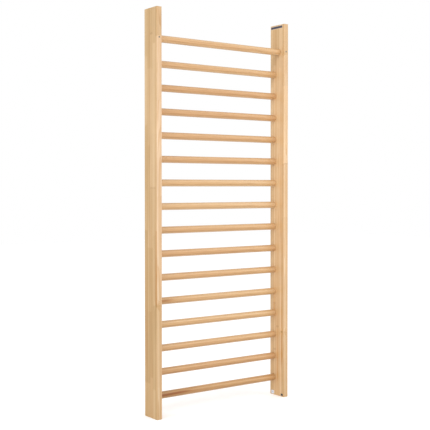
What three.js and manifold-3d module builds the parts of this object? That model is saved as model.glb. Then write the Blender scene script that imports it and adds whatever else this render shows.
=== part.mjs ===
// Wall bars: two upright boards joined by sixteen round rungs, with the top rung set forward of the others.
// Millimetres, +Z up, X along the rungs, -Y the climbing side. The origin is on the floor, midway between
// the boards' outer faces and midway through their depth.
import * as THREE from "three";
import { mergeVertices } from "three/addons/utils/BufferGeometryUtils.js";
import Module from "manifold-3d";

// Frame
const HEIGHT = 2400;
const WIDTH = 1000; // over the outer faces of the uprights
const GAP = 0.3; // clearance between touching pieces

// Uprights
const BOARD_DEPTH = 136;
const BOARD_THICKNESS = 36;
const EDGE_RADIUS = 5;
const END_CHAMFER = 1.5;

// Rungs
const RUNG_COUNT = 16;
const RUNG_RADIUS = 21;
const RUNG_PITCH = 140.5;
const LOWEST_RUNG_Z = 115.5;
const RUNG_Y = 33;
const TOP_RUNG_Y = -13;
const TENON_RADIUS = 16;
const TENON_LENGTH = 24;
const RUNG_SIDES = 20;

// Countersunk wood screws, one through each tenon
const SCREW_SIDES = 10;
const SCREW_SINK = 0.4; // depth of the head's face below the board's edge
const BACK_SCREW = { headRadius: 4, shankRadius: 2, length: 40 };
const FRONT_SCREW = { headRadius: 5, shankRadius: 2.5, length: 60 };

// Plain labels on the inner face of the right upright: size along the depth and the height, and place
const LABEL_THICKNESS = 0.4;
const LABELS = [
  { name: "label_top_band", depth: 113, height: 18, y: 5.5, z: HEIGHT - 15 },
  { name: "label_foot_white", depth: 27, height: 22, y: 41, z: 16 },
  { name: "label_foot_dark", depth: 20, height: 14, y: -50, z: 13 },
];

const INNER_X = WIDTH / 2 - BOARD_THICKNESS;
const BOARD_X = WIDTH / 2 - BOARD_THICKNESS / 2;
const SIDES = [
  { name: "left", sign: -1 },
  { name: "right", sign: 1 },
];

const wood = { board: "#deb788", rung: "#e0bb94" };
const steel = "#8f8b84";
const paper = { label_top_band: "#3a3550", label_foot_white: "#dfe3ec", label_foot_dark: "#3b3634" };

const wasm = await Module();
wasm.setup();

// A closed three.js geometry as a manifold-3d solid.
function solid(geometry) {
  const bare = geometry.index ? geometry.toNonIndexed() : geometry.clone();
  bare.deleteAttribute("normal");
  bare.deleteAttribute("uv");
  const merged = mergeVertices(bare, 1e-3);
  const mesh = new wasm.Mesh({
    numProp: 3,
    vertProperties: merged.attributes.position.array,
    triVerts: new Uint32Array(merged.index.array),
  });
  return new wasm.Manifold(mesh);
}

// A manifold-3d solid as a named mesh with a material of its own.
function piece(name, shape, material) {
  const mesh = shape.getMesh();
  const geometry = new THREE.BufferGeometry();
  geometry.setAttribute("position", new THREE.BufferAttribute(mesh.vertProperties, 3));
  geometry.setIndex(new THREE.BufferAttribute(mesh.triVerts, 1));
  geometry.computeVertexNormals();
  const made = new THREE.Mesh(geometry, new THREE.MeshStandardMaterial(material));
  made.name = name;
  return made;
}

function rungZ(index) {
  return LOWEST_RUNG_Z + index * RUNG_PITCH;
}

// The top rung stands forward of the others.
function rungY(index) {
  return index === RUNG_COUNT - 1 ? TOP_RUNG_Y : RUNG_Y;
}

// A solid turned about the X axis, from its radius at each x.
function turned(outline, sides) {
  const points = outline.map(([x, radius]) => new THREE.Vector2(radius, x));
  return new THREE.LatheGeometry(points, sides).rotateZ(-Math.PI / 2);
}

// A rung with a shouldered tenon at each end, centred on the origin.
function rungGeometry() {
  const shoulder = INNER_X - GAP;
  const end = shoulder + TENON_LENGTH;
  const outline = [
    [-end, 0],
    [-end, TENON_RADIUS],
    [-shoulder, TENON_RADIUS],
    [-shoulder, RUNG_RADIUS],
    [shoulder, RUNG_RADIUS],
    [shoulder, TENON_RADIUS],
    [end, TENON_RADIUS],
    [end, 0],
  ];
  return turned(outline, RUNG_SIDES);
}

// The blind bore for one tenon, centred on the rung's axis and open at the board's inner face.
function boreGeometry(sign) {
  const radius = TENON_RADIUS + GAP;
  const mouth = INNER_X - 1;
  const bottom = INNER_X + TENON_LENGTH + GAP;
  const outline = [
    [mouth, 0],
    [mouth, radius],
    [bottom, radius],
    [bottom, 0],
  ];
  const bore = turned(outline, RUNG_SIDES);
  return sign > 0 ? bore : bore.rotateZ(Math.PI);
}

// A screw along Y with its head's face at y = 0 and its point at y = length, grown all round by a clearance.
// With an opening, the head's hole runs that far out past its face.
function screwGeometry(screw, clearance = 0, opening = 0) {
  const head = screw.headRadius + clearance;
  const shank = screw.shankRadius + clearance;
  const rim = 0.5;
  const cone = rim + head - shank;
  const tip = screw.length - 3 * screw.shankRadius;
  const points = [
    new THREE.Vector2(0, -opening),
    new THREE.Vector2(head, -opening),
    new THREE.Vector2(head, rim),
    new THREE.Vector2(shank, cone),
    new THREE.Vector2(shank, tip),
    new THREE.Vector2(0, screw.length + clearance),
  ];
  return new THREE.LatheGeometry(points, SCREW_SIDES);
}

// The screw at one end of a rung: from the back edge, but from the front edge for the top rung.
function placeScrew(index, sign, clearance, opening) {
  const front = index === RUNG_COUNT - 1;
  const geometry = screwGeometry(front ? FRONT_SCREW : BACK_SCREW, clearance, opening);
  const face = BOARD_DEPTH / 2 - SCREW_SINK;
  if (!front) geometry.rotateX(Math.PI);
  return geometry.translate(sign * BOARD_X, front ? -face : face, rungZ(index));
}

// A board with rounded long edges and chamfered ends, bored for the tenons and drilled for the screws.
function upright(side) {
  const halfThickness = BOARD_THICKNESS / 2;
  const halfDepth = BOARD_DEPTH / 2;
  const section = new THREE.Shape();
  for (const [x, y, start] of [
    [1, 1, 0],
    [-1, 1, 0.5],
    [-1, -1, 1],
    [1, -1, 1.5],
  ]) {
    const centreX = x * (halfThickness - EDGE_RADIUS);
    const centreY = y * (halfDepth - EDGE_RADIUS);
    section.absarc(centreX, centreY, EDGE_RADIUS, start * Math.PI, (start + 0.5) * Math.PI);
  }
  const board = new THREE.ExtrudeGeometry(section, {
    depth: HEIGHT - 2 * END_CHAMFER,
    curveSegments: 3,
    bevelThickness: END_CHAMFER,
    bevelSize: END_CHAMFER,
    bevelOffset: -END_CHAMFER,
    bevelSegments: 1,
  });
  board.translate(side.sign * BOARD_X, 0, END_CHAMFER);
  let shape = solid(board);
  for (let index = 0; index < RUNG_COUNT; index += 1) {
    const bore = boreGeometry(side.sign).translate(0, rungY(index), rungZ(index));
    shape = shape.subtract(solid(bore));
    shape = shape.subtract(solid(placeScrew(index, side.sign, GAP, 2)));
  }
  return piece(side.name + "_upright", shape, { color: wood.board, roughness: 0.45 });
}

function rung(index) {
  let shape = solid(rungGeometry().translate(0, rungY(index), rungZ(index)));
  for (const side of SIDES) {
    shape = shape.subtract(solid(placeScrew(index, side.sign, GAP, 2)));
  }
  return piece("rung_" + twoDigits(index), shape, { color: wood.rung, roughness: 0.45 });
}

function screw(index, side) {
  const shape = solid(placeScrew(index, side.sign, 0, 0));
  const name = ["screw", side.name, twoDigits(index)].join("_");
  return piece(name, shape, { color: steel, roughness: 0.35, metalness: 1 });
}

function label({ name, depth, height, y, z }) {
  const sheet = new THREE.BoxGeometry(LABEL_THICKNESS, depth, height);
  sheet.translate(INNER_X - GAP - LABEL_THICKNESS / 2, y, z);
  return piece(name, solid(sheet), { color: paper[name], roughness: 0.5 });
}

// Rungs and screws are numbered from the floor up.
function twoDigits(index) {
  return String(index + 1).padStart(2, "0");
}

const wallBars = new THREE.Group();
for (const side of SIDES) wallBars.add(upright(side));
for (let index = 0; index < RUNG_COUNT; index += 1) {
  wallBars.add(rung(index));
  for (const side of SIDES) wallBars.add(screw(index, side));
}
for (const each of LABELS) wallBars.add(label(each));

export default wallBars;
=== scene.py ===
"""Wall bars: two laminated upright boards and sixteen turned rungs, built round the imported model.

Metres in the row frame: +Z up, X along the rungs, -Y the climbing side. Shader patterns work in millimetres.
"""
import math
import operator
import random

import bmesh
import bpy
from mathutils import Matrix, Vector


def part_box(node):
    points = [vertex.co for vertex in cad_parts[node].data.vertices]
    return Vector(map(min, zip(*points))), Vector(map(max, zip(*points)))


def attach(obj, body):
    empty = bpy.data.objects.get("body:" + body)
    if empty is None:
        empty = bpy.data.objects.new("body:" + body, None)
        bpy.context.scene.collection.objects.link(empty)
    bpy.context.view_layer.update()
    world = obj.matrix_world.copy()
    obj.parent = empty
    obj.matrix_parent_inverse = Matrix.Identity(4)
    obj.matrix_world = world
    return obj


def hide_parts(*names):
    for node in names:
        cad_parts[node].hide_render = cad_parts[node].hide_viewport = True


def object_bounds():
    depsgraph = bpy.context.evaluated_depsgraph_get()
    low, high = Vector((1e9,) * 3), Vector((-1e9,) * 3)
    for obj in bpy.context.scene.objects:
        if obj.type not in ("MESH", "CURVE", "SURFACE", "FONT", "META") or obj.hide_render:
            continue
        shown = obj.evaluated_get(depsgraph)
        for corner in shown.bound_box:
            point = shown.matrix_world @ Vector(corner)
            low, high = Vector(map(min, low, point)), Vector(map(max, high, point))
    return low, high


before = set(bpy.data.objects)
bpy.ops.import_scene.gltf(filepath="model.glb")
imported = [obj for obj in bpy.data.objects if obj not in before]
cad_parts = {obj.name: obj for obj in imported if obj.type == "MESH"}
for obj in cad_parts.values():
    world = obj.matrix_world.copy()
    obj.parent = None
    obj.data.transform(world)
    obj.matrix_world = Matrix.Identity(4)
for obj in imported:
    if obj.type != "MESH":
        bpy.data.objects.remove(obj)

CAD_LOW, CAD_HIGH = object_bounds()
MM = 0.001
SIDES = ("left", "right")
SEED = 16
RUNG_COUNT = sum(name.startswith("rung_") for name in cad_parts)

# Camera: where it stands, how far it is turned from +Y towards +X, and how far it is tipped up
CAMERA_PLACE = (-3.279, -4.439, 1.361)
CAMERA_TURN = math.radians(36.17)
CAMERA_TILT = math.radians(-1.08)
CAMERA_SENSOR = 36.0
CAMERA_LENS = 74.82
CAMERA_SHIFT_Y = -0.028

# Studio: the surround's light on the object, which the camera sees as white, and the floor, which lights the
# object less than it shows
SURROUND_LIGHT = 0.92
FLOOR_PALENESS = 0.85
FLOOR_WHITENING = 0.24
FLOOR_REACH = 15.0

# Softboxes: where each stands, the point that it faces, its width and height, and its power in watts
SOFTBOXES = {
    "left_softbox": ((-10.0, -5.5, 8.5), (0, 0, 1.3), (6.0, 6.0), 360),
    "front_softbox": ((-0.8, -3.8, 2.5), (0.3, 0, 1.4), (2.0, 2.0), 42),
    "right_softbox": ((2.6, -3.9, 2.9), (0, 0, 1.5), (3.0, 2.2), 38),
}

# Boards
EDGE_RADIUS = 5 * MM
END_RADIUS = 1.5 * MM
BORE_CLEARANCE = 0.3 * MM
CORNER_STEPS = 6
END_STEPS = 4

# Rungs
TENON_RADIUS = 16 * MM
TENON_LENGTH = 24 * MM
RUNG_SIDES = 64
EASED_EDGE = 0.6 * MM

# Screws: the head's radius, the shank's and the whole length
BACK_SCREW = (4 * MM, 2 * MM, 40 * MM)
FRONT_SCREW = (5 * MM, 2.5 * MM, 60 * MM)
SCREW_RIM = 0.5 * MM
SCREW_SINK = 0.4 * MM
SCREW_SIDES = 32

# Labels
FILM_RADIUS = 2 * MM
FILM_THICKNESS = 0.18 * MM
FILM_GAP = 0.02 * MM
FILM_PAPER = (0.66, 0.54, 0.4)

# The three films, which are blank: the CAD node and the material slot of each, the colours of its paper and
# of its one plain band, and the band's width and height (mm)
FILMS = {
    "film_top": ("label_top_band", "label_dark", FILM_PAPER, (0.022, 0.02, 0.05), (110, 14)),
    "film_white": ("label_foot_white", "label_pale", (0.72, 0.76, 0.84), (0.5, 0.53, 0.62), (16, 6)),
    "film_dark": ("label_foot_dark", "label_dark", FILM_PAPER, (0.02, 0.014, 0.012), (19.4, 13.4)),
}

# Each board's staves, from the climbing side to the wall side: how far back the stave reaches (mm), and its
# finger-jointed blocks from the floor up, as the height where each starts (m) and its tone from dark to pale
# The tones are partly the blocks' own and partly painted light and shade: below about 1.3 m they darken
# towards the floor, most on the left board, a painted shade for light that falls off lower down; and the
# right board's blocks are paler than the left's, partly painted light for its inner face, which the lamps
# reach less
STAVES = {
    "left": (
        (14, ((0, 0.26), (0.18, 0.28), (0.652, 0.4), (0.95, 0.48), (1.3, 0.52), (1.85, 0.46), (2.23, 0.14))),
        (44, ((0, 0.28), (0.17, 0.16), (0.66, 0.36), (1.07, 0.45), (1.35, 0.56), (1.66, 0.62), (2.19, 0.36))),
        (74, ((0, 0.34), (0.24, 0.19), (0.62, 0.24), (1.0, 0.4), (1.35, 0.52), (2.05, 0.42), (2.25, 0.35))),
        (102, ((0, 0.32), (0.2, 0.14), (0.62, 0.24), (1.0, 0.38), (1.38, 0.36), (1.6, 0.47), (2.05, 0.33))),
        (136, ((0, 0.34), (0.2, 0.12), (0.63, 0.2), (1.1, 0.4), (1.34, 0.33), (1.72, 0.5), (2.12, 0.38))),
    ),
    "right": (
        (
            16,
            (
                (0, 0.38), (0.25, 0.42), (0.42, 0.54), (1.16, 0.6),
                (1.5, 0.7), (1.64, 0.64), (2.0, 0.5), (2.2, 0.34),
            ),
        ),
        (48, ((0, 0.58), (0.42, 0.7), (0.72, 0.68), (1.06, 0.76), (1.56, 0.7), (2.12, 0.6))),
        (76, ((0, 0.72), (0.45, 0.7), (0.8, 0.7), (1.12, 0.77), (1.74, 0.74), (1.97, 0.64), (2.19, 0.44))),
        (104, ((0, 0.6), (0.3, 0.56), (0.6, 0.65), (1.15, 0.76), (2.03, 0.62), (2.14, 0.42))),
        (136, ((0, 0.48), (0.38, 0.47), (0.68, 0.48), (1.06, 0.56), (1.3, 0.63), (2.0, 0.44))),
    ),
}

# Fingers that join two blocks: half the width of one (mm), and how many times longer than that it is
FINGER_HALF_WIDTH = 1.9
FINGER_LENGTHENING = 5.0

# Shares of red, green and blue: the left board's wood is a little more olive than the right board's, and the
# narrow front edges of both are painted paler and less orange than their broad faces, a painted sheen
# standing in for the softbox light that their lacquer reflects
BOARD_TINT = {"left": (1.0, 1.02, 1.0), "right": (1.0, 1.0, 0.98)}
EDGE_SHEEN_TINT = {"left": (0.96, 0.98, 1.15), "right": (0.93, 0.95, 1.03)}

# Resinous streaks in each board, as the distance from its climbing edge and the width (mm), the heights that
# it runs between (m), its strength and how softly it ends (mm)
STREAKS = {
    "left": ((9, 13, 0.66, 1.1, 1.3, 4), (118, 30, 0.3, 0.95, 0.4, 60)),
    "right": (
        (19, 13, 0.2, 0.64, 1.0, 50),
        (92, 14, 0.5, 0.78, 0.9, 50),
        (60, 9, 0.1, 0.5, 1.0, 50),
        (32, 24, 1.0, 1.98, 0.4, 80),
    ),
}

# Small knots, as the distance from the board's climbing edge (mm), the height (m) and the radius (mm)
KNOTS = {"left": ((9, 0.664, 11),), "right": ((19, 0.42, 10),)}

# Tone of each rung from the floor up, and the brown heartwood that starts at the left end of two of them:
# rung number to strength and length in metres
RUNG_TONES = (0.15, 0.3, 0.55, 0.7, 0.7, 0.55, 0.45, 0.55, 0.8, 0.75, 0.45, 0.45, 0.35, 0.35, 0.6, 0.6)
HEARTWOOD = {1: (1.0, 0.75), 5: (0.7, 0.5)}

# Wood colours from dark to pale, each after its tone
BOARD_PALETTE = (
    (0.0, (0.53, 0.34, 0.15)),
    (0.25, (0.62, 0.42, 0.21)),
    (0.5, (0.71, 0.5, 0.29)),
    (0.75, (0.81, 0.59, 0.36)),
    (1.0, (0.91, 0.68, 0.42)),
)
RUNG_PALETTE = (
    (0.0, (0.54, 0.34, 0.16)),
    (0.35, (0.62, 0.4, 0.22)),
    (0.7, (0.67, 0.47, 0.27)),
    (1.0, (0.73, 0.55, 0.36)),
)

# What multiplies the wood's colour in its late wood, in its broad bands, and where it is browned or resinous,
# and a knot's own colour
LATE_WOOD_TINT = (0.86, 0.74, 0.58)
BAND_TINT = (0.88, 0.79, 0.67)
BROWN_TINT = (0.62, 0.5, 0.38)
RESIN_TINT = (0.86, 0.66, 0.4)
KNOT_COLOUR = (0.42, 0.24, 0.07)

# How much the boards are browned on their end grain, along a seam and at the joint of two blocks
END_GRAIN_SHADE = 0.45
SEAM_SHADE = 0.45
JOINT_SHADE = 0.4

# The growth rings' width in millimetres
BOARD_RING_WIDTH = 2.7
RUNG_RING_WIDTH = 3.2

STEEL_PALETTE = ((0.3, (0.13, 0.115, 0.095)), (0.7, (0.25, 0.225, 0.19)))


class Shader:
    """Adds shader nodes to one material. Every value may be a number, a tuple or another node's output."""

    def __init__(self, name):
        self.material = bpy.data.materials.new(name)
        self.material.use_nodes = True
        self.tree = self.material.node_tree
        self.tree.nodes.clear()

    def node(self, kind, inputs, **settings):
        made = self.tree.nodes.new(kind)
        for name, value in settings.items():
            setattr(made, name, value)
        for key, value in inputs.items():
            if isinstance(value, bpy.types.NodeSocket):
                self.tree.links.new(value, made.inputs[key])
            else:
                made.inputs[key].default_value = value
        return made

    def number(self, operation, *values):
        return self.node("ShaderNodeMath", dict(enumerate(values)), operation=operation).outputs[0]

    def smooth(self, value, start, end, low=0.0, high=1.0):
        inputs = {"Value": value, "From Min": start, "From Max": end, "To Min": low, "To Max": high}
        return self.node("ShaderNodeMapRange", inputs, interpolation_type="SMOOTHSTEP").outputs[0]

    def blend(self, factor, first, second, mode="MIX"):
        inputs = {0: factor}
        for key, colour in ((6, first), (7, second)):
            inputs[key] = colour if isinstance(colour, bpy.types.NodeSocket) else (*colour, 1.0)
        return self.node("ShaderNodeMix", inputs, data_type="RGBA", blend_type=mode).outputs[2]

    def multiply(self, factor, colour, tint):
        return self.blend(factor, colour, tint, "MULTIPLY")

    def point(self, x, y, z):
        return self.node("ShaderNodeCombineXYZ", {0: x, 1: y, 2: z}).outputs[0]

    def noise(self, point, scale, detail=2.0, seed=0.0):
        inputs = {"Vector": point, "Scale": scale, "Detail": detail, "W": seed}
        return self.node("ShaderNodeTexNoise", inputs, noise_dimensions="4D").outputs[0]

    def place(self):
        """The point's own X, Y and Z in millimetres."""
        where = self.node("ShaderNodeTexCoord", {}).outputs["Object"]
        scaled = self.node("ShaderNodeVectorMath", {0: where, "Scale": 1 / MM}, operation="SCALE").outputs[0]
        parts = self.node("ShaderNodeSeparateXYZ", {0: scaled})
        return parts.outputs[0], parts.outputs[1], parts.outputs[2]

    def attribute(self, name):
        """A number that the mesh carries."""
        return self.node("ShaderNodeAttribute", {}, attribute_name=name).outputs["Fac"]

    def ramp(self, value, stops, interpolation="LINEAR"):
        made = self.node("ShaderNodeValToRGB", {0: value})
        made.color_ramp.interpolation = interpolation
        elements = made.color_ramp.elements
        while len(elements) < len(stops):
            elements.new(1.0)
        for element, (position, colour) in zip(elements, stops):
            element.position = position
            element.color = (*colour, 1.0)
        return made.outputs[0]

    def bump(self, height, depth, strength):
        inputs = {"Height": height, "Distance": depth, "Strength": strength}
        return self.node("ShaderNodeBump", inputs).outputs[0]

    def finish(self, **inputs):
        """Closes the material with a surface shader, whose sockets are named with underscores for spaces."""
        named = {name.replace("_", " "): value for name, value in inputs.items()}
        surface = self.node("ShaderNodeBsdfPrincipled", named)
        self.node("ShaderNodeOutputMaterial", {0: surface.outputs[0]})
        return self.material


def grain(s, across, other, along, seed, ring_width):
    """Solid wood's growth rings and fibres, from a place in its section and along it in millimetres. Gives
    the share of dark late wood, the fine fibres, the broad bands and the slow blotches, each from 0 to 1."""

    def stretched_noise(stretch, scale, detail):
        return s.noise(s.point(across, other, s.number("MULTIPLY", along, stretch)), scale, detail, seed)

    # The rings' centre has a place of its own for each seed, and wanders along the piece
    centre_a = s.number("MULTIPLY", s.number("SINE", s.number("MULTIPLY", seed, 61.0)), 34.0)
    centre_b = s.number("MULTIPLY", s.number("COSINE", s.number("MULTIPLY", seed, 37.0)), 75.0)
    swing = s.number("MULTIPLY", s.number("SUBTRACT", stretched_noise(0.06, 0.014, 1.0), 0.5), 30.0)
    a = s.number("ADD", s.number("ADD", across, centre_a), swing)
    b = s.number("ADD", s.number("ADD", other, centre_b), swing)
    radius = s.number("SQRT", s.number("ADD", s.number("MULTIPLY", a, a), s.number("MULTIPLY", b, b)))
    ring = s.number("FRACT", s.number("DIVIDE", radius, ring_width))
    late = s.number("MULTIPLY", s.smooth(ring, 0.35, 0.9), s.smooth(ring, 0.93, 1.0, 1.0, 0.0))
    fibres = stretched_noise(0.02, 1.3, 3.0)
    bands = stretched_noise(0.006, 0.075, 2.0)
    blotches = stretched_noise(0.12, 0.022, 2.0)
    return late, fibres, bands, blotches


def wood_colour(s, tone, figure, palette, shade, resin):
    """The wood's colour. The shade browns it, as on end grain, and resin turns it amber."""
    late, fibres, bands, blotches = figure
    worn = s.number("ADD", tone, s.number("MULTIPLY", s.number("SUBTRACT", blotches, 0.5), 0.45))
    colour = s.ramp(worn, palette)
    colour = s.multiply(s.number("MULTIPLY", late, 0.8), colour, LATE_WOOD_TINT)
    colour = s.multiply(s.smooth(bands, 0.38, 0.6), colour, BAND_TINT)
    streak = s.smooth(fibres, 0.25, 0.75, 0.94, 1.06)
    colour = s.multiply(1.0, colour, s.point(streak, streak, streak))
    colour = s.multiply(shade, colour, BROWN_TINT)
    return s.multiply(resin, colour, RESIN_TINT)


def lacquered(s, colour, figure):
    """A satin clear lacquer over wood, with the fibres just felt through it."""
    late, fibres = figure[:2]
    height = s.number("ADD", s.number("MULTIPLY", fibres, 0.7), s.number("MULTIPLY", late, 0.3))
    return s.finish(
        Base_Color=colour,
        Roughness=s.smooth(fibres, 0.2, 0.8, 0.36, 0.5),
        Normal=s.bump(height, 0.12 * MM, 0.5),
        Coat_Weight=0.1,
        Coat_Roughness=0.3,
    )


def inside(s, value, start, end, soft):
    """1 between start and end and 0 outside, with soft limits."""
    after = s.smooth(value, start - soft, start + soft)
    return s.number("MULTIPLY", after, s.smooth(value, end - soft, end + soft, 1.0, 0.0))


def resin_share(s, side, depth, z):
    """The strongest of a board's resinous streaks at a point, each fading upwards."""
    share = 0.0
    waver = s.number("MULTIPLY", s.number("SUBTRACT", s.noise(s.point(0.0, 0.0, z), 0.01), 0.5), 5.0)
    wavering = s.number("ADD", depth, waver)
    for distance, width, low, high, strength, soft in STREAKS[side]:
        low, high = low / MM, high / MM
        across = inside(s, wavering, distance - width / 2, distance + width / 2, 2.0)
        fade = s.smooth(z, low, high, strength, 0.4 * strength)
        along = s.number("MULTIPLY", inside(s, z, low, high, soft), fade)
        share = s.number("MAXIMUM", share, s.number("MULTIPLY", across, along))
    return share


def knot_share(s, side, depth, z):
    """How much of a knot shows at a point, and how far the grain is pushed aside by it, in millimetres."""
    flattening = 1.3
    share, push = 0.0, 0.0
    rough = s.number("MULTIPLY", s.noise(s.point(depth, z, 0.0), 0.3), 3.0)
    point = s.point(depth, s.number("MULTIPLY", z, flattening), 0.0)
    for distance, height, radius in KNOTS[side]:
        centre = (distance, height / MM * flattening, 0.0)
        away = s.node("ShaderNodeVectorMath", {0: point, 1: centre}, operation="DISTANCE").outputs["Value"]
        away = s.number("ADD", away, rough)
        share = s.number("MAXIMUM", share, s.smooth(away, 0.4 * radius, 1.6 * radius, 0.95, 0.0))
        push = s.number("ADD", push, s.smooth(away, 0.0, 5.0 * radius, 9.0, 0.0))
    return share, push


def block_stops(joints, height):
    """A stave's blocks as colour stops: tone in red, the grain's seed in green, the joints' lines in blue."""
    line = 0.5 * MM
    stops = []
    for start, tone in joints:
        seed = random.random()
        if start > 0:
            stops.append((start / height, (tone, seed, 1.0)))
            start += line
        stops.append((start / height, (tone, seed, 0.0)))
    return stops


def stave_blocks(s, side, depth, z):
    """The block's tone, its seed and its joint lines at a point of the board, and the distance in millimetres
    to the nearest seam between two staves."""
    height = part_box(side + "_upright")[1].z
    fingers = s.number("MULTIPLY", s.number("PINGPONG", depth, FINGER_HALF_WIDTH), FINGER_LENGTHENING)
    share = s.number("DIVIDE", s.number("ADD", z, fingers), height / MM)
    (reached, joints), *others = STAVES[side]
    blocks, seam = s.ramp(share, block_stops(joints, height), "CONSTANT"), 100.0
    for reach, joints in others:
        stave = s.ramp(share, block_stops(joints, height), "CONSTANT")
        blocks = s.blend(s.number("GREATER_THAN", depth, reached), blocks, stave)
        seam = s.number("MINIMUM", seam, s.number("ABSOLUTE", s.number("SUBTRACT", depth, reached)))
        reached = reach
    return *s.node("ShaderNodeSeparateColor", {0: blocks}).outputs, seam


def board_wood(side):
    """Edge-glued staves, each of finger-jointed blocks with a tone and a grain of their own."""
    s = Shader(side + "_board_pine")
    low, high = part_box(side + "_upright")
    x, y, z = s.place()
    thickness = s.number("SUBTRACT", x, (low.x + high.x) / 2 / MM)
    depth = s.number("SUBTRACT", y, low.y / MM)
    tone, seed, joint, seam = stave_blocks(s, side, depth, z)
    knots, push = knot_share(s, side, depth, z)
    figure = grain(s, thickness, s.number("ADD", depth, push), z, seed, BOARD_RING_WIDTH)
    facing = s.node("ShaderNodeSeparateXYZ", {0: s.node("ShaderNodeNewGeometry", {}).outputs["Normal"]})
    end_grain = s.number("MULTIPLY", s.number("ABSOLUTE", facing.outputs[2]), END_GRAIN_SHADE)
    shade = s.number("MAXIMUM", end_grain, s.smooth(seam, 0.15, 0.5, SEAM_SHADE, 0.0))
    shade = s.number("MAXIMUM", shade, s.number("MULTIPLY", joint, JOINT_SHADE))
    palette = [(stop, tuple(map(operator.mul, colour, BOARD_TINT[side]))) for stop, colour in BOARD_PALETTE]
    colour = wood_colour(s, tone, figure, palette, shade, resin_share(s, side, depth, z))
    # Painted sheen: faces turned to the climbing side are made paler and less orange, for the light their
    # lacquer reflects
    painted_edge_sheen = s.smooth(facing.outputs[1], -0.9, -0.4, 1.0, 0.0)
    colour = s.multiply(painted_edge_sheen, colour, EDGE_SHEEN_TINT[side])
    return lacquered(s, s.blend(knots, colour, KNOT_COLOUR), figure)


def heartwood(s, x, y, z, upward, seed):
    """The brown heartwood from a rung's left end, and its dark core, each from 0 to 1."""
    strength = s.attribute("heart")
    from_left = s.number("SUBTRACT", x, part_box("left_upright")[1].x / MM)
    wave = s.noise(s.point(s.number("MULTIPLY", x, 0.02), y, z), 0.06, 2.0, seed)
    ragged = s.number("ADD", from_left, s.number("MULTIPLY", wave, 200.0))
    reach = s.number("DIVIDE", ragged, s.attribute("heart_length"))
    brown = s.number("MULTIPLY", s.smooth(reach, 0.0, 1.0, 1.0, 0.0), strength)
    brown = s.number("MULTIPLY", brown, s.smooth(wave, 0.34, 0.54, 0.15, 0.62))
    rise = s.number("SUBTRACT", s.number("MULTIPLY", from_left, 0.02), s.number("SUBTRACT", upward, 1.0))
    core = s.number("MULTIPLY", s.smooth(s.number("ABSOLUTE", rise), 4.0, 10.0, 1.0, 0.0), strength)
    core = s.number("MULTIPLY", core, s.smooth(reach, 0.36, 0.6, 1.0, 0.0))
    return brown, core


def rung_wood():
    """Turned beech-like rungs, with tone, seed and heartwood from each rung's own mesh."""
    s = Shader("rung_wood")
    x, y, z = s.place()
    seed, across, upward = s.attribute("seed"), s.attribute("across"), s.attribute("upward")
    figure = grain(s, across, upward, x, seed, RUNG_RING_WIDTH)
    brown, core = heartwood(s, x, y, z, upward, seed)
    flecks = s.noise(s.point(s.number("MULTIPLY", x, 0.22), across, upward), 1.1, 1.0, seed)
    stripes = s.noise(s.point(s.number("MULTIPLY", x, 0.03), across, upward), 0.17, 2.0, seed)
    shade = s.number("MAXIMUM", s.number("MAXIMUM", brown, core), s.smooth(flecks, 0.62, 0.75, 0.0, 0.3))
    shade = s.number("MAXIMUM", shade, s.smooth(stripes, 0.5, 0.68, 0.0, 0.42))
    return lacquered(s, wood_colour(s, s.attribute("tone"), figure, RUNG_PALETTE, shade, core), figure)


def screw_steel():
    """Dull zinc-plated steel."""
    s = Shader("screw_steel")
    x, y, z = s.place()
    patches = s.noise(s.point(x, y, z), 0.9, 3.0)
    fine = s.noise(s.point(x, y, z), 6.0, 2.0, 4.0)
    return s.finish(
        Base_Color=s.ramp(patches, STEEL_PALETTE),
        Metallic=1.0,
        Roughness=s.smooth(patches, 0.3, 0.7, 0.28, 0.5),
        Normal=s.bump(fine, 0.03 * MM, 0.4),
    )


def label_film(name, node, paper, band, band_size):
    """A blank film with one plain band, of the given width and height in millimetres, and no marks."""
    s = Shader(name)
    low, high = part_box(node)
    middle = (low + high) / 2 / MM
    x, y, z = s.place()
    across = s.number("ABSOLUTE", s.number("SUBTRACT", y, middle.y))
    upward = s.number("ABSOLUTE", s.number("SUBTRACT", z, middle.z))
    width, height = band_size
    past_side, past_top = s.number("SUBTRACT", across, width / 2), s.number("SUBTRACT", upward, height / 2)
    on_band = s.smooth(s.number("MAXIMUM", past_side, past_top), -0.3, 0.3, 1.0, 0.0)
    mottle = s.noise(s.point(x, y, z), 0.25, 2.0)
    printed = s.number("MULTIPLY", on_band, s.smooth(mottle, 0.1, 0.6, 0.9, 1.0))
    return s.finish(
        Base_Color=s.blend(printed, paper, band),
        Roughness=s.smooth(mottle, 0.2, 0.8, 0.3, 0.42),
        Normal=s.bump(mottle, 0.05 * MM, 0.3),
        Coat_Weight=0.3,
        Coat_Roughness=0.1,
    )


def floor_white():
    """A pale floor that the camera sees as nearly white."""
    s = Shader("studio_floor")
    x, y, z = s.place()
    clouds = s.noise(s.point(x, y, z), 0.002, 2.0)
    tint = s.smooth(clouds, 0.3, 0.7, FLOOR_PALENESS - 0.01, FLOOR_PALENESS + 0.01)
    seen = s.node("ShaderNodeLightPath", {}).outputs["Is Camera Ray"]
    return s.finish(
        Base_Color=s.point(tint, tint, tint),
        Roughness=0.8,
        Emission_Color=(1.0, 1.0, 1.0, 1.0),
        Emission_Strength=s.number("MULTIPLY", seen, FLOOR_WHITENING),
    )


def add_object(name, mesh, material):
    """An object in the scene with one material."""
    made = bpy.data.objects.new(name, mesh)
    bpy.context.scene.collection.objects.link(made)
    mesh.materials.clear()
    mesh.materials.append(material)
    return made


def plain_mesh(name, shape):
    """A mesh from a bmesh, which is freed."""
    mesh = bpy.data.meshes.new(name)
    shape.to_mesh(mesh)
    shape.free()
    return mesh


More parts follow.
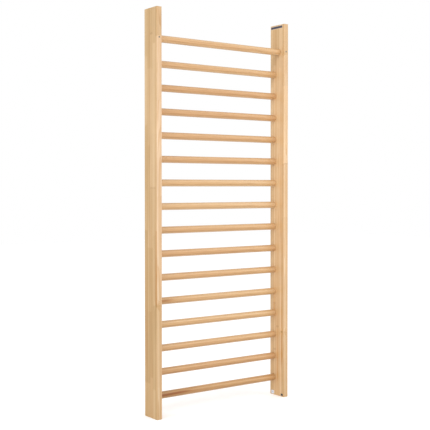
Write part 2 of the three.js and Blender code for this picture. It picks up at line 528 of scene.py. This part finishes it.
def closed_mesh(name, shape):
    """The same, with its faces turned outwards."""
    bmesh.ops.recalc_face_normals(shape, faces=shape.faces)
    return plain_mesh(name, shape)


def shade_by_angle(mesh, degrees=40):
    mesh.shade_smooth()
    mesh.set_sharp_from_angle(angle=math.radians(degrees))


def bridge(shape, lower, upper):
    """Joins two rings of points with faces, which are triangles where a ring is one point repeated."""
    for step in range(len(lower)):
        after = (step + 1) % len(lower)
        corners = (lower[step], lower[after], upper[after], upper[step])
        shape.faces.new(list(dict.fromkeys(corners)))


def turned_mesh(name, outline, sides):
    """A solid turned about the Z axis, from (radius, height) points that start and end on the axis."""
    shape = bmesh.new()
    angles = [2 * math.pi * step / sides for step in range(sides)]
    rings = []
    for radius, height in outline:
        if radius == 0:
            rings.append([shape.verts.new((0, 0, height))] * sides)
        else:
            places = [(radius * math.cos(angle), radius * math.sin(angle), height) for angle in angles]
            rings.append([shape.verts.new(place) for place in places])
    for lower, upper in zip(rings, rings[1:]):
        bridge(shape, lower, upper)
    return closed_mesh(name, shape)


def joined(meshes):
    """One mesh that holds copies of several."""
    shape = bmesh.new()
    for mesh in meshes:
        shape.from_mesh(mesh)
    return plain_mesh("joined", shape)


def moved(mesh, matrix):
    """A copy of the mesh, put in place."""
    made = mesh.copy()
    made.transform(matrix)
    return made


def cut(mesh, cutter):
    """The mesh less the cutter."""
    body = bpy.data.objects.new("body", mesh)
    tool = bpy.data.objects.new("tool", cutter)
    for each in (body, tool):
        bpy.context.scene.collection.objects.link(each)
    boolean = body.modifiers.new("cut", "BOOLEAN")
    boolean.operation = "DIFFERENCE"
    boolean.solver = "EXACT"
    boolean.object = tool
    bpy.context.view_layer.update()
    done = bpy.data.meshes.new_from_object(body.evaluated_get(bpy.context.evaluated_depsgraph_get()))
    for each in (body, tool):
        bpy.data.objects.remove(each)
    return done


def weighted_normals(obj):
    """Keeps the flat faces flat next to the rounded edges."""
    shade_by_angle(obj.data)
    modifier = obj.modifiers.new("weighted", "WEIGHTED_NORMAL")
    modifier.keep_sharp = True
    modifier.weight = 100


def stands_for(piece, node):
    """Fixes a piece to the part's only body, in the place of one CAD node."""
    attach(piece, "root")
    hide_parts(node)


def rung_place(number):
    """The middle of a rung."""
    low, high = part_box(f"rung_{number:02d}")
    return (low + high) / 2


def screw_outline(head, shank, length, grown=0.0, opening=0.0):
    """A countersunk screw's outline from its head's face at height 0 down to its point. A hole's outline is
    grown by a clearance, and opens some way past the face."""
    return [
        (0, opening),
        (head + grown, opening),
        (head + grown, -SCREW_RIM),
        (shank + grown, -SCREW_RIM - head + shank),
        (shank + grown, -length + 3 * shank),
        (0, -length - grown),
    ]


def screw_matrix(number, side):
    """From a screw that points down -Z, with its head's face at the origin, to its place in the board."""
    low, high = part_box(side + "_upright")
    front = number == RUNG_COUNT
    y = low.y + SCREW_SINK if front else high.y - SCREW_SINK
    turn = math.radians(90 if front else -90)
    place = Matrix.Translation(((low.x + high.x) / 2, y, rung_place(number).z))
    return place @ Matrix.Rotation(turn, 4, "X")


def screw_size(number):
    return FRONT_SCREW if number == RUNG_COUNT else BACK_SCREW


def screw_hole(number, side):
    """The hole for one screw, open for a little way past the board's face."""
    outline = screw_outline(*screw_size(number), BORE_CLEARANCE, 2 * MM)
    return moved(turned_mesh("screw_hole", outline, SCREW_SIDES), screw_matrix(number, side))


def rounded_corners(low, high, radius):
    """The points of a rectangle's rounded outline, from pairs of its least and greatest places."""
    points = []
    for right, top, start in ((True, True, 0), (False, True, 90), (False, False, 180), (True, False, 270)):
        centre_a = high[0] - radius if right else low[0] + radius
        centre_b = high[1] - radius if top else low[1] + radius
        for step in range(CORNER_STEPS + 1):
            angle = math.radians(start + 90 / CORNER_STEPS * step)
            points.append((centre_a + radius * math.cos(angle), centre_b + radius * math.sin(angle)))
    return points


def board_ring(shape, low, high, inset, z):
    """The board's rounded section at one height, drawn in from its faces."""
    inner_low, inner_high = (low.x + inset, low.y + inset), (high.x - inset, high.y - inset)
    outline = rounded_corners(inner_low, inner_high, EDGE_RADIUS - inset)
    return [shape.verts.new((x, y, z)) for x, y in outline]


def rounded_board(low, high):
    """A board with rounded long edges and softened ends."""
    shape = bmesh.new()
    lower_rings, upper_rings = [], []
    for step in range(END_STEPS + 1):
        angle = math.pi / 2 * step / END_STEPS
        inset = END_RADIUS * (1 - math.sin(angle))
        rise = END_RADIUS * (1 - math.cos(angle))
        lower_rings.append(board_ring(shape, low, high, inset, low.z + rise))
        upper_rings.append(board_ring(shape, low, high, inset, high.z - rise))
    rings = lower_rings + upper_rings[::-1]
    for lower, upper in zip(rings, rings[1:]):
        bridge(shape, lower, upper)
    shape.faces.new(rings[0])
    shape.faces.new(rings[-1])
    return closed_mesh("board", shape)


def tenon_bore(number, side):
    """The blind bore for one tenon, open for a little way past the board's inner face."""
    low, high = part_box(side + "_upright")
    inner, inwards = (low.x, -1) if side == "right" else (high.x, 1)
    radius, bottom, mouth = TENON_RADIUS + BORE_CLEARANCE, -TENON_LENGTH - BORE_CLEARANCE, 1 * MM
    bore = turned_mesh("bore", [(0, bottom), (radius, bottom), (radius, mouth), (0, mouth)], RUNG_SIDES)
    middle = rung_place(number)
    turn = Matrix.Rotation(inwards * math.pi / 2, 4, "Y")
    return moved(bore, Matrix.Translation((inner, middle.y, middle.z)) @ turn)


def make_board(side):
    """One upright, bored for the tenons and drilled and countersunk for the screws."""
    low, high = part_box(side + "_upright")
    bores = [tenon_bore(number, side) for number in range(1, RUNG_COUNT + 1)]
    holes = [screw_hole(number, side) for number in range(1, RUNG_COUNT + 1)]
    mesh = cut(cut(rounded_board(low, high), joined(bores)), joined(holes))
    board = add_object(side + "_board", mesh, board_wood(side))
    weighted_normals(board)
    stands_for(board, side + "_upright")


def store(mesh, name, values):
    """Keeps a number for each point of the mesh, where its material can read it."""
    mesh.attributes.new(name, "FLOAT", "POINT").data.foreach_set("value", values)


def rung_outline(half, radius):
    """Half of a rung's outline from the end of its tenon to its middle, and then the other half."""
    shoulder = half - TENON_LENGTH
    outline = [(0, half), (TENON_RADIUS - EASED_EDGE, half), (TENON_RADIUS, half - EASED_EDGE)]
    outline += [(TENON_RADIUS, shoulder), (radius - EASED_EDGE, shoulder), (radius, shoulder - EASED_EDGE)]
    outline += [(radius, shoulder * share) for share in (0.75, 0.5, 0.25, 0.0)]
    return outline + [(ring_radius, -height) for ring_radius, height in reversed(outline[:-1])]


def make_rung(number, material):
    """A turned rung with a shouldered tenon at each end."""
    node = f"rung_{number:02d}"
    low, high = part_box(node)
    middle = (low + high) / 2
    rod = turned_mesh(node, rung_outline((high.x - low.x) / 2, (high.z - low.z) / 2), RUNG_SIDES)
    place = Matrix.Translation(middle) @ Matrix.Rotation(math.pi / 2, 4, "Y")
    mesh = cut(moved(rod, place), joined([screw_hole(number, side) for side in SIDES]))
    shade_by_angle(mesh)
    heart, heart_length = HEARTWOOD.get(number, (0.0, MM))
    points = mesh.vertices
    store(mesh, "tone", [RUNG_TONES[number - 1]] * len(points))
    store(mesh, "seed", [random.random()] * len(points))
    store(mesh, "heart", [heart] * len(points))
    store(mesh, "heart_length", [heart_length / MM] * len(points))
    store(mesh, "across", [(point.co.y - middle.y) / MM for point in points])
    store(mesh, "upward", [(point.co.z - middle.z) / MM for point in points])
    rung = add_object(node + "_turned", mesh, material)
    stands_for(rung, node)


def screw_mesh(head, shank, length):
    """A countersunk screw with a cross recess, pointing down -Z."""
    mesh = turned_mesh("screw", screw_outline(head, shank, length), SCREW_SIDES)
    slot_length, slot_width, taper = 1.25 * head, 0.24 * head, 0.55
    for turn in (0, math.pi / 2):
        slot = bmesh.new()
        for vertex in bmesh.ops.create_cube(slot, size=1.0)["verts"]:
            x, y, z = vertex.co
            narrow = taper if z < 0 else 1.0
            corner = Vector((x * slot_length * narrow, y * slot_width * narrow, z * head))
            vertex.co = Matrix.Rotation(turn, 4, "Z") @ corner
        mesh = cut(mesh, plain_mesh("slot", slot))
    return mesh


def make_screws(material):
    shapes = {size: screw_mesh(*size) for size in (BACK_SCREW, FRONT_SCREW)}
    for side in SIDES:
        for number in range(1, RUNG_COUNT + 1):
            spin = Matrix.Rotation(random.uniform(0, math.pi), 4, "Z")
            mesh = moved(shapes[screw_size(number)], screw_matrix(number, side) @ spin)
            shade_by_angle(mesh, 30)
            node = f"screw_{side}_{number:02d}"
            screw = add_object(node + "_steel", mesh, material)
            stands_for(screw, node)


def make_label(node, material):
    """A thin film with rounded corners, stuck to the board's inner face."""
    low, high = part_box(node)
    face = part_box("right_upright")[0].x
    outline = rounded_corners((low.y, low.z), (high.y, high.z), FILM_RADIUS)
    shape = bmesh.new()
    back = shape.faces.new([shape.verts.new((face - FILM_GAP, y, z)) for y, z in outline])
    front = bmesh.ops.extrude_face_region(shape, geom=[back])["geom"]
    for vertex in (each for each in front if isinstance(each, bmesh.types.BMVert)):
        vertex.co.x -= FILM_THICKNESS
    label = add_object(node + "_film", closed_mesh(node, shape), material)
    stands_for(label, node)


def make_labels():
    for name, (node, slot, *look) in FILMS.items():
        make_label(node, label_film(name, node, *look))


def make_camera():
    data = bpy.data.cameras.new("camera")
    data.sensor_width = CAMERA_SENSOR
    data.lens = CAMERA_LENS
    data.shift_y = CAMERA_SHIFT_Y
    camera = bpy.data.objects.new("camera", data)
    bpy.context.scene.collection.objects.link(camera)
    camera.location = CAMERA_PLACE
    camera.rotation_euler = (math.pi / 2 + CAMERA_TILT, 0, -CAMERA_TURN)
    bpy.context.scene.camera = camera


def add_softbox(name, place, target, size, power):
    data = bpy.data.lights.new(name, "AREA")
    data.shape = "RECTANGLE"
    data.size, data.size_y = size
    data.energy = power
    lamp = bpy.data.objects.new(name, data)
    bpy.context.scene.collection.objects.link(lamp)
    lamp.location = place
    lamp.rotation_euler = (Vector(target) - Vector(place)).to_track_quat("-Z", "Y").to_euler()


def make_surround():
    """A white surround, which the camera sees at full strength."""
    world = bpy.data.worlds.new("studio")
    world.use_nodes = True
    nodes, links = world.node_tree.nodes, world.node_tree.links
    strength = nodes.new("ShaderNodeMapRange")
    strength.inputs["To Min"].default_value = SURROUND_LIGHT
    links.new(nodes.new("ShaderNodeLightPath").outputs["Is Camera Ray"], strength.inputs["Value"])
    links.new(strength.outputs[0], nodes["Background"].inputs["Strength"])
    nodes["Background"].inputs["Color"].default_value = (1, 1, 1, 1)
    bpy.context.scene.world = world


def make_studio():
    """A white floor and a white surround, with softboxes to the left, in front and to the right."""
    make_surround()
    bpy.context.scene.view_settings.view_transform = "Standard"
    for name, settings in SOFTBOXES.items():
        add_softbox(name, *settings)
    shape = bmesh.new()
    bmesh.ops.create_grid(shape, x_segments=8, y_segments=8, size=FLOOR_REACH)
    floor = add_object("studio_floor", plain_mesh("studio_floor", shape), floor_white())
    floor.location.z = CAD_LOW.z


random.seed(SEED)
make_camera()
make_studio()
for board_side in SIDES:
    make_board(board_side)
shared_rung_wood = rung_wood()
for rung_number in range(1, RUNG_COUNT + 1):
    make_rung(rung_number, shared_rung_wood)
make_screws(screw_steel())
make_labels()
